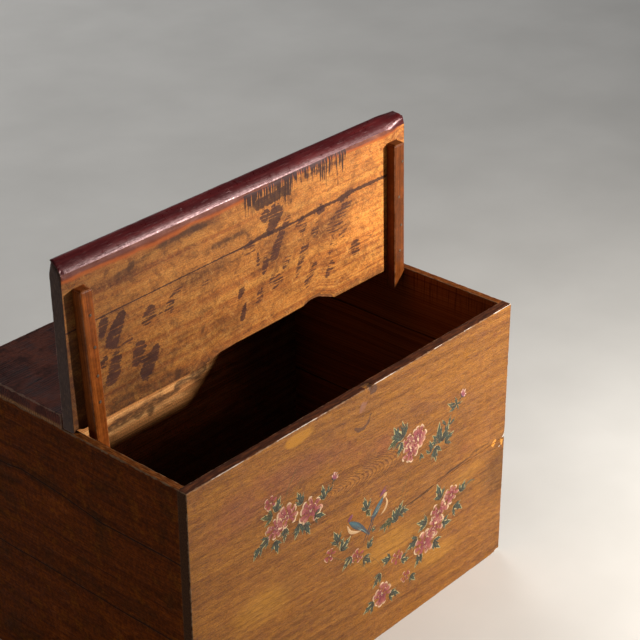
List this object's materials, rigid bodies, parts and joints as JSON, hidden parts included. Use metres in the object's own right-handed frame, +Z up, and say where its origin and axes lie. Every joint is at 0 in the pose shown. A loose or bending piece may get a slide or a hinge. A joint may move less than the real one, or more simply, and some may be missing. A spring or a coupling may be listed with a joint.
{
  "type": "trunk",
  "caption": "Old wooden storage trunk: boarded case, fixed rear top and a half-opening lid that swings up on its rear edge, held by hook-tailed battens.",
  "frame": {"origin": "on the floor, under the middle of the case's outer box", "axes": "+Z up, -Y is the painted front, X runs along the front with -X at the viewer's left"},
  "size_m": [0.86, 0.558, 0.8823],
  "materials": {
    "front_lacquered_wood": "worn honey-brown lacquer over open grain, painted flower sprays",
    "end_lacquered_wood": "worn dark red-brown lacquer",
    "back_lacquered_wood": "thin worn dark finish",
    "top_lacquered_wood": "dark worn lacquer",
    "lid_wood": "raw wood underside, dark lacquered top, maroon lacquered front edge",
    "batten_wood": "smooth red-brown",
    "inner_wood": "unfinished, darkened with age",
    "bamboo": "plain",
    "nail_iron": "dull, lightly rusted"
  },
  "bodies": {
    "case": {"back_board_lower": "back_lacquered_wood", "back_board_upper": "back_lacquered_wood", "back_corner_pegs": "bamboo", "back_edge_pins": "bamboo", "bottom_board_front": "inner_wood", "bottom_board_middle": "inner_wood", "bottom_board_pegs": "bamboo", "bottom_board_rear": "inner_wood", "bottom_cleat_nails": "nail_iron", "front_board_lower": "front_lacquered_wood", "front_board_upper": "front_lacquered_wood", "front_corner_pegs": "bamboo", "front_edge_pins": "bamboo", "left_bottom_cleat": "inner_wood", "left_end_board_bottom": "end_lacquered_wood", "left_end_board_middle": "end_lacquered_wood", "left_end_board_top": "end_lacquered_wood", "left_end_edge_pins": "bamboo", "rear_top_board": "top_lacquered_wood", "rear_top_pegs": "bamboo", "right_bottom_cleat": "inner_wood", "right_end_board_bottom": "end_lacquered_wood", "right_end_board_middle": "end_lacquered_wood", "right_end_board_top": "end_lacquered_wood", "right_end_edge_pins": "bamboo"},
    "lid": {"left_lid_batten": "batten_wood", "lid_batten_nails": "nail_iron", "lid_edge_pins": "bamboo", "lid_front_board": "lid_wood", "lid_rear_board": "lid_wood", "right_lid_batten": "batten_wood"}
  },
  "joints": [
    {"name": "lid_swing", "type": "hinge", "parent": "case", "child": "lid", "pos_m": [0, 0, 0.58], "axis": [-1, 0, 0], "range_deg": [-90.7, 0]}
  ]
}
